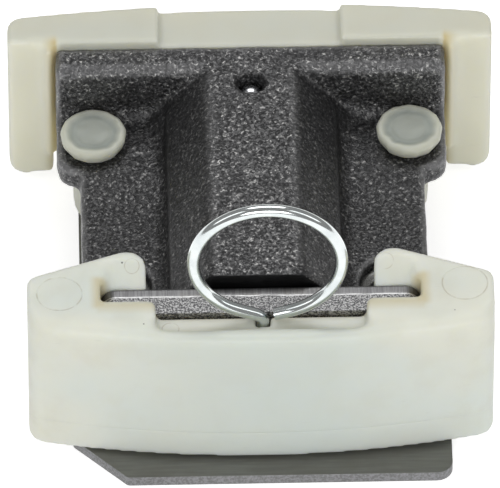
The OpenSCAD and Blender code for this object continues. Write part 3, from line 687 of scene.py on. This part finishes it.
half_length = sums(rivet_tree, "MULTIPLY", rivet_in.outputs["Length"], 0.5)
raised = []
for form, height in ((head, half_head), (shank, half_length)):
    lift = node(rivet_tree, "ShaderNodeCombineXYZ", {"Z": height}).outputs[0]
    raised.append(node(rivet_tree, "GeometryNodeTransform", {
        "Geometry": form, "Translation": lift}).outputs[0])
whole = node(rivet_tree, "GeometryNodeJoinGeometry")
for form in raised:
    rivet_tree.links.new(form, whole.inputs[0])
row = node(rivet_tree, "GeometryNodeMeshLine", {
    "Count": 2, "Start Location": rivet_in.outputs["First"],
    "Offset": rivet_in.outputs["Spacing"]}).outputs[0]
placed = node(rivet_tree, "GeometryNodeInstanceOnPoints", {
    "Points": row, "Instance": whole.outputs[0]}).outputs[0]
end_geometry(rivet_tree, placed, rivet_steel)
rivet_centre = (rivet_lo + rivet_hi) / 2
rivets = grown("driven_rivets", bpy.data.meshes.new("driven_rivets"), rivet_tree, rivet_keys, {
    "Head radius": rivet_head_r, "Shank radius": rivet_shank_r, "Head height": rivet_head_t,
    "Length": rivet_hi.z - rivet_lo.z,
    "First": Vector((rivet_lo.x + rivet_head_r, rivet_centre.y, rivet_lo.z)),
    "Spacing": Vector((rivet_hi.x - rivet_lo.x - 2 * rivet_head_r, 0, 0))})
rivets.data.set_sharp_from_angle(angle=crisp_angle)
finish(rivets, rivet_steel, "housing", "rivet_steel", "back_plate_rivets")

# Shoe plate: thick steel blank that spreads the plunger's push over the nylon shoe.
# It was sheared from strip: each edge has a smooth burnished band above a rough, torn one.
plate_lo, plate_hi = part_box("shoe_plate")
plate_corner_r = 2.0 * MM
edge_step = 0.16 * MM
burnish_share = 0.31
burnish_wander = 0.035
tear_depth = 0.13 * MM
tear_size = 0.55 * MM
roll_over = 0.22 * MM
roll_share = 0.07
tear_layers = 24


def blank_outline(low, high, corner_r, step):
    """Points and outward directions round a blank with round corners, seen along Y."""
    ring = []
    left, right = low.x + corner_r, high.x - corner_r
    bottom, top = low.z + corner_r, high.z - corner_r
    centres = [Vector((x, 0, z)) for x, z in ((right, top), (left, top), (left, bottom), (right, bottom))]
    arc_steps = max(4, round(math.pi / 2 * corner_r / step))
    for index, centre in enumerate(centres):
        for i in range(arc_steps + 1):
            angle = math.pi / 2 * (index + i / arc_steps)
            out = Vector((math.cos(angle), 0, math.sin(angle)))
            ring.append((centre + corner_r * out, out))
        far = centres[(index + 1) % 4] + corner_r * out
        near = ring[-1][0]
        count = round((far - near).length / step)
        ring += [(near.lerp(far, i / count), out) for i in range(1, count)]
    return ring


def sheared_blank(name):
    """The blank's mesh: flat faces, and an edge with a rolled-over lip, a burnished and a torn band."""
    ring = blank_outline(plate_lo, plate_hi, plate_corner_r, edge_step)
    thickness = plate_hi.y - plate_lo.y
    layers = [0.0, 0.015, 0.04, roll_share]
    layers += [roll_share + (1 - roll_share) * i / tear_layers for i in range(1, tear_layers + 1)]
    mesh = bpy.data.meshes.new(name)
    work = bmesh.new()
    torn = []
    loops = []
    for share in layers:
        loop = []
        for place, out in ring:
            lip = roll_over * max(0.0, 1 - share / roll_share) ** 2
            limit = burnish_share + burnish_wander * noise.noise(place / (2.5 * MM))
            ragged = clamp((share - limit) / 0.04)
            tear = 0.5 + 0.5 * noise.noise(Vector((place.x, 3 * share * MM, place.z)) / tear_size)
            inset = lip + ragged * tear_depth * (0.25 + 0.75 * tear)
            spot = place - out * inset
            spot.y = plate_hi.y - thickness * share
            loop.append(work.verts.new(spot))
            torn.append(ragged)
        loops.append(loop)
    for upper, lower in zip(loops, loops[1:]):
        for i in range(len(ring)):
            n = (i + 1) % len(ring)
            work.faces.new((upper[i], lower[i], lower[n], upper[n]))
    work.faces.new(loops[0])
    work.faces.new(loops[-1][::-1])
    bmesh.ops.recalc_face_normals(work, faces=work.faces)
    work.to_mesh(mesh)
    work.free()
    store(mesh, "torn", torn)
    mesh.shade_smooth()
    mesh.set_sharp_from_angle(angle=math.radians(50))
    piece = bpy.data.objects.new(name, mesh)
    bpy.context.scene.collection.objects.link(piece)
    return piece


def sheared_steel():
    """Steel strip: dull mill faces, a burnished band with draw lines, and sparkling torn metal."""
    material, tree, where = start_material("sheared_steel")
    draw = speckle(tree, stretched(tree, where, (1, 0.05, 1)), 0.16 * MM, 3.0)
    crystal = speckle(tree, where, 0.22 * MM, 3.0, 0.5)
    stain = speckle(tree, where, 4 * MM, 3.0)
    torn = measure(tree, "torn")
    smooth = mixed(tree, ramp(tree, draw, 0.3, 0.7), srgb(98, 98, 99), srgb(124, 124, 125))
    smooth = mixed(tree, ramp(tree, stain, 0.45, 0.75, 0.0, 0.4), smooth, srgb(108, 104, 96))
    rough = mixed(tree, ramp(tree, crystal, 0.42, 0.62), srgb(98, 98, 100), srgb(208, 208, 208))
    begins = sums(tree, "MULTIPLY", ramp(tree, torn, 0.1, 0.5), ramp(tree, torn, 0.6, 1.0, 0.85, 0.0))
    bumps = relief(tree, draw, 0.012 * MM)
    bumps = relief(tree, sums(tree, "MULTIPLY", crystal, torn), 0.10 * MM, bumps)
    tint = mixed(tree, begins, mixed(tree, torn, smooth, rough), srgb(228, 228, 228))
    surface(tree, Base_Color=tint, Metallic=0.9,
            Roughness=ramp(tree, torn, 0.0, 1.0, 0.36, 0.46), Normal=bumps)
    return material


shoe_plate = sheared_blank("shoe_blank")
finish(shoe_plate, sheared_steel(), "shoe", "sheared_steel", "shoe_plate")

# Lower chain shoe: nylon moulding that the chain runs on, with tabs that guide it round the body,
# finger blocks in front of the steel plate and a recessed wall between them.
shoe_lo, shoe_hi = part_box("lower_chain_shoe")
shoe_middle = (shoe_lo.x + shoe_hi.x) / 2
chain_line_z = shoe_lo.z + 4.2 * MM
chain_line_w = 0.22 * MM
shoe_white = (230, 231, 219)
shoe_cool = (223, 229, 222)
# Colour of the painted shade low on the middle of the chain face.
middle_painted_shade = (207, 216, 211)
dirt = (150, 128, 92)
front_z = shoe_hi.z
crown_r = 130 * MM
hollow_z = 20.2 * MM
hollow_fade = 0.6 * MM
beside_plate = (16 * MM, 20.6 * MM, -0.6 * MM, 3.0 * MM)
under_recess = (-1 * MM, 14.4 * MM, -10.4 * MM, -6.6 * MM)
hollow_rounds = 60
edge_width = 2 * MM
front_fade = 1.2 * MM
edge_rounds = 120
pin_lo, pin_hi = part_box("lock_pin")
wire_r = (pin_hi.y - pin_lo.y) / 2
pin_x = 0.6 * MM
slot_r = 1.1 * MM
slot_reach = 2.6 * MM
slot_play = 0.08 * MM


def off_by(tree, value, goal):
    """How far a value is from another."""
    return sums(tree, "ABSOLUTE", sums(tree, "SUBTRACT", value, goal), 0.0)


def chain_line(tree, where):
    """Fine groove along the chain face."""
    height = node(tree, "ShaderNodeSeparateXYZ", {"Vector": where}).outputs["Z"]
    return ramp(tree, off_by(tree, height, chain_line_z), 0.0, chain_line_w)


def distance(tree, where, x, y):
    """Distance from a point of the shoe's front, in millimetres across and up, in the face's own plane."""
    centred = node(tree, "ShaderNodeMapping", {
        "Vector": where, "Location": (-x * MM, -y * MM, -0.2 * front_z), "Scale": (1, 1, 0.2)}).outputs[0]
    return node(tree, "ShaderNodeVectorMath", {0: centred}, operation="LENGTH").outputs["Value"]


def ring_mark(x, y, radius, width):
    """A function that draws the ring an ejector pin leaves, 0 on the ring and 1 away from it."""
    def mark(tree, where):
        away = off_by(tree, distance(tree, where, x, y), radius * MM)
        return ramp(tree, away, 0.0, width * MM)
    return mark


def ring_stain(x, y, radius, width, share):
    """A function that draws a faint ring of dirt, broken here and there."""
    def stain(tree, where):
        away = off_by(tree, distance(tree, where, x, y), radius * MM)
        broken = ramp(tree, speckle(tree, where, 2 * MM, 2.0), 0.4, 0.6)
        return sums(tree, "MULTIPLY", ramp(tree, away, 0.0, width * MM, share, 0.0), broken)
    return stain


def dot_stain(x, y, radius, share):
    """A function that draws a speck of dirt."""
    inner, outer = 0.4 * radius * MM, radius * MM
    return lambda tree, where: ramp(tree, distance(tree, where, x, y), inner, outer, share, 0.0)


def painted_shade_middle(tree, where):
    """Painted shade on the middle of the chain face, low down by the steel plate, in a cooler darker tint.
    """
    across = node(tree, "ShaderNodeSeparateXYZ", {"Vector": where}).outputs
    low = ramp(tree, across["Y"], -10 * MM, -7 * MM, 1.0, 0.0)
    near = ramp(tree, off_by(tree, across["X"], shoe_middle), 4 * MM, 22 * MM, 0.6, 0.0)
    return sums(tree, "MULTIPLY", near, low)


def worn_corners(place):
    """1 in the hollows beside the plate and under the middle wall's recess, else 0."""
    across = abs(place.x - shoe_middle)
    for inner, outer, low, high in (beside_plate, under_recess):
        if inner < across < outer and low < place.y < high:
            return clamp((place.z - hollow_z) / hollow_fade)
    return 0.0


def front_edge(place):
    """1 along the front edge of the chain face, which is rounded over, else 0."""
    across = place.x - shoe_middle
    chain_y = shoe_lo.y + crown_r - math.sqrt(crown_r ** 2 - across ** 2)
    at_front = between(place.z, front_z - edge_width, front_z, front_fade)
    return at_front * between(place.y, chain_y, chain_y + edge_width, front_fade)


def painted_shade_by_plate(place):
    """Share of painted brownish shade in the corners where the plate sits in the shoe."""
    across = abs(place.x - shoe_middle)
    below = between(place.y, plate_lo.y, plate_lo.y, 1.5 * MM) * between(across, 0, plate_hi.x, seam)
    beside = between(across, 19.4 * MM, 20.2 * MM, 1.0 * MM) * between(place.y, plate_lo.y, 0, 0.8 * MM)
    return max(0.5 * below, 0.6 * beside)


def hug_pin(mesh):
    """Draws the walls of the pin's open slot close to the wire."""
    axis_y = (pin_lo.y + pin_hi.y) / 2
    for vertex in mesh.vertices:
        away = Vector((vertex.co.x - pin_x, min(0.0, vertex.co.y - axis_y), 0))
        if vertex.co.y > plate_lo.y or not 0.5 * slot_r < away.length < slot_reach:
            continue
        share = max(0.0, (away.length - slot_r) / (slot_reach - slot_r))
        hugged = wire_r + slot_play + share * (slot_reach - wire_r - slot_play)
        vertex.co += away * (hugged / away.length - 1)


# Marks on the front: place across and up, radius and width in millimetres, and the share of dirt.
ejector_r = 2.8
ejectors = [(-24.4, -2.4), (25.6, -1.6)]
dirt_rings = [(x, y, ejector_r, 0.14, 0.35) for x, y in ejectors]
dirt_rings += [(-15.4, 2.5, 0.9, 0.1, 0.35), (15.9, 2.7, 1.0, 0.1, 0.35), (-10.8, -6.9, 1.1, 0.12, 0.4)]
specks = [((-16.6, 2.9, 0.16, 0.9), (60, 56, 52)), ((-14.1, -7.7, 0.14, 0.8), (70, 66, 60)),
          ((24.2, -6.2, 0.13, 0.6), (80, 74, 66))]
grooves = [chain_line] + [ring_mark(x, y, ejector_r, 0.16) for x, y in ejectors]
overlays = [(painted_shade_middle, middle_painted_shade)] + [(ring_stain(*ring), dirt) for ring in dirt_rings]
overlays += [(dot_stain(*dot), colour) for dot, colour in specks]
lower_shoe = merged_copy("lower_chain_shoe", "lower_shoe")
even_skin(lower_shoe, nylon_step, nylon_rounds)
hug_pin(lower_shoe.data)
soften(lower_shoe, worn_corners, hollow_rounds)
soften(lower_shoe, front_edge, edge_rounds)
store(lower_shoe.data, "staked", [0.0] * len(lower_shoe.data.vertices))
# Painted shade: the corners by the steel plate take on a brownish tint.
store(lower_shoe.data, "warm", [painted_shade_by_plate(v.co) for v in lower_shoe.data.vertices])
shoe_nylon = nylon("shoe_nylon", shoe_white, shoe_cool, grooves, overlays)
finish(lower_shoe, shoe_nylon, "shoe", "shoe_nylon", "lower_chain_shoe")

# Lock pin: one length of zinc-plated wire, bent from the pin into a pull ring and cut off beside the bend.
# It holds the shoe in until the tensioner is bolted up, and is then pulled out by its ring.
ring_r = (pin_hi.x - pin_lo.x) / 2 - wire_r
ring_centre = Vector(((pin_lo.x + pin_hi.x) / 2, (pin_lo.y + pin_hi.y) / 2, pin_hi.z - ring_r - wire_r))
ring_stem = 9.6 * MM
bend_r = 1.3 * MM
cut_gap = 1.5 * MM
ring_steps = 120
bend_steps = 16


def in_plane(x, z):
    """A point of the wire's middle plane."""
    return Vector((x, ring_centre.y, z))


def wire_path():
    """The middle of the wire, from its cut end round the ring and the bend to the pin's tip."""
    foot = in_plane(pin_x, ring_centre.z - math.sqrt(ring_stem ** 2 - (pin_x - ring_centre.x) ** 2))
    down = math.atan2(foot.z - ring_centre.z, foot.x - ring_centre.x)
    spread = math.acos(ring_r / ring_stem)
    first = down + spread

    def on_ring(angle):
        return ring_centre + ring_r * Vector((math.cos(angle), 0, math.sin(angle)))

    path = [foot + (on_ring(first) - foot).normalized() * cut_gap]
    sweep = 2 * math.pi - 2 * spread
    path += [on_ring(first + sweep * i / ring_steps) for i in range(ring_steps + 1)]
    up_left = (on_ring(down - spread) - foot).normalized()
    half = up_left.angle(Vector((0, 0, -1))) / 2
    centre = foot + (up_left + Vector((0, 0, -1))).normalized() * bend_r / math.sin(half)
    turn = math.pi - 2 * half
    for i in range(bend_steps + 1):
        angle = turn * (1 - i / bend_steps)
        path.append(centre + bend_r * Vector((math.cos(angle), 0, math.sin(angle))))
    path.append(in_plane(pin_x, pin_lo.z + wire_r / 2))
    return path


wire_tree, wire_in, wire_keys = start_geometry("bent_wire", {
    "Wire radius": "Float", "Sides": "Int", "Step": "Float"})
evened = node(wire_tree, "GeometryNodeResampleCurve", {
    "Curve": wire_in.outputs["Geometry"], "Length": wire_in.outputs["Step"]}, mode="LENGTH").outputs[0]
round_section = node(wire_tree, "GeometryNodeCurvePrimitiveCircle", {
    "Resolution": wire_in.outputs["Sides"], "Radius": wire_in.outputs["Wire radius"]}).outputs[0]
bent = node(wire_tree, "GeometryNodeCurveToMesh", {
    "Curve": evened, "Profile Curve": round_section, "Fill Caps": True}).outputs[0]
zinc = drawn_wire("zinc_wire", (204, 210, 211), (216, 221, 221), 0.1)
end_geometry(wire_tree, bent, zinc)
wire_curve = bpy.data.curves.new("lock_wire", "CURVE")
wire_curve.dimensions = "3D"
wire_points = wire_path()
spline = wire_curve.splines.new("POLY")
spline.points.add(len(wire_points) - 1)
for point, place in zip(spline.points, wire_points):
    point.co = (*place, 1.0)
lock_wire = grown("lock_wire", wire_curve, wire_tree, wire_keys, {
    "Wire radius": wire_r, "Sides": 28, "Step": 0.22 * MM})
lock_wire.data.set_sharp_from_angle(angle=math.radians(60))
finish(lock_wire, zinc, "lock_pin", "zinc_wire", "lock_pin")

# Stage: a plain white floor under the tensioner, soft studio lamps above and a long lens.
# The camera looks at the shoe's side from about 46 degrees up, turned slightly to the left.
floor_half = 3.0
floor_gap = 0.02 * MM
floor_glow = 0.62
view_azimuth = math.radians(-1.3)
view_elevation = math.radians(46.14)
view_distance = 1.6
view_target = Vector((-0.5, 16.05, 12.0)) * MM
lens_pixels = 12823
photo_width = 500
sensor = 36.0

floor_mesh = bpy.data.meshes.new("floor")
floor_corners = ((-1, -1), (1, -1), (1, 1), (-1, 1))
floor_places = [(x * floor_half, y * floor_half, -floor_gap) for x, y in floor_corners]
floor_mesh.from_pydata(floor_places, [], [(0, 1, 2, 3)])
floor = bpy.data.objects.new("floor", floor_mesh)
bpy.context.scene.collection.objects.link(floor)
floor_paint, floor_tree, _ = start_material("white_floor")
rays = node(floor_tree, "ShaderNodeLightPath").outputs
mirrored = sums(floor_tree, "MAXIMUM", rays["Is Glossy Ray"], rays["Is Transmission Ray"])
seen = sums(floor_tree, "MAXIMUM", rays["Is Camera Ray"], mirrored)
strength = sums(floor_tree, "MULTIPLY", seen, floor_glow)
glow = node(floor_tree, "ShaderNodeEmission", {"Color": (1, 1, 1, 1), "Strength": strength}).outputs[0]
paint = node(floor_tree, "ShaderNodeBsdfDiffuse", {"Color": (0.9, 0.9, 0.9, 1)}).outputs[0]
both = node(floor_tree, "ShaderNodeAddShader", {0: glow, 1: paint}).outputs[0]
node(floor_tree, "ShaderNodeOutputMaterial", {"Surface": both})
floor_mesh.materials.append(floor_paint)

world = bpy.data.worlds.new("studio")
bpy.context.scene.world = world
world.use_nodes = True
sky = world.node_tree.nodes["Background"].inputs
sky["Color"].default_value = (1.0, 0.995, 0.98, 1)
sky["Strength"].default_value = 0.3


def lamp(name, place, width, height, watts):
    """A soft box that faces the tensioner."""
    light = bpy.data.lights.new(name, "AREA")
    light.shape = "RECTANGLE"
    light.size = width
    light.size_y = height
    light.energy = watts
    box = bpy.data.objects.new(name, light)
    box.location = place
    box.rotation_euler = (view_target - Vector(place)).to_track_quat("-Z", "Y").to_euler()
    bpy.context.scene.collection.objects.link(box)


lamp("top_box", (0, 0.42, 0.72), 0.6, 0.4, 2.1)
lamp("left_box", (-0.6, -0.15, 0.55), 0.25, 0.6, 0.7)
lamp("right_box", (0.6, -0.15, 0.55), 0.25, 0.6, 0.7)
lamp("front_box", (0, -0.78, 0.48), 0.7, 0.35, 3.4)

lens = bpy.data.cameras.new("camera")
lens.sensor_width = sensor
lens.lens = lens_pixels / photo_width * sensor
lens.clip_start = 0.05
lens.clip_end = 10
camera = bpy.data.objects.new("camera", lens)
bpy.context.scene.collection.objects.link(camera)
back = Vector((math.sin(view_azimuth) * math.cos(view_elevation),
               -math.cos(view_azimuth) * math.cos(view_elevation), math.sin(view_elevation)))
level = Vector((math.cos(view_azimuth), math.sin(view_azimuth), 0))
camera.matrix_world = Matrix.Translation(view_target + view_distance * back) @ Matrix(
    (level, back.cross(level), back)).transposed().to_4x4()
bpy.context.scene.camera = camera
bpy.context.scene.view_settings.view_transform = "Standard"
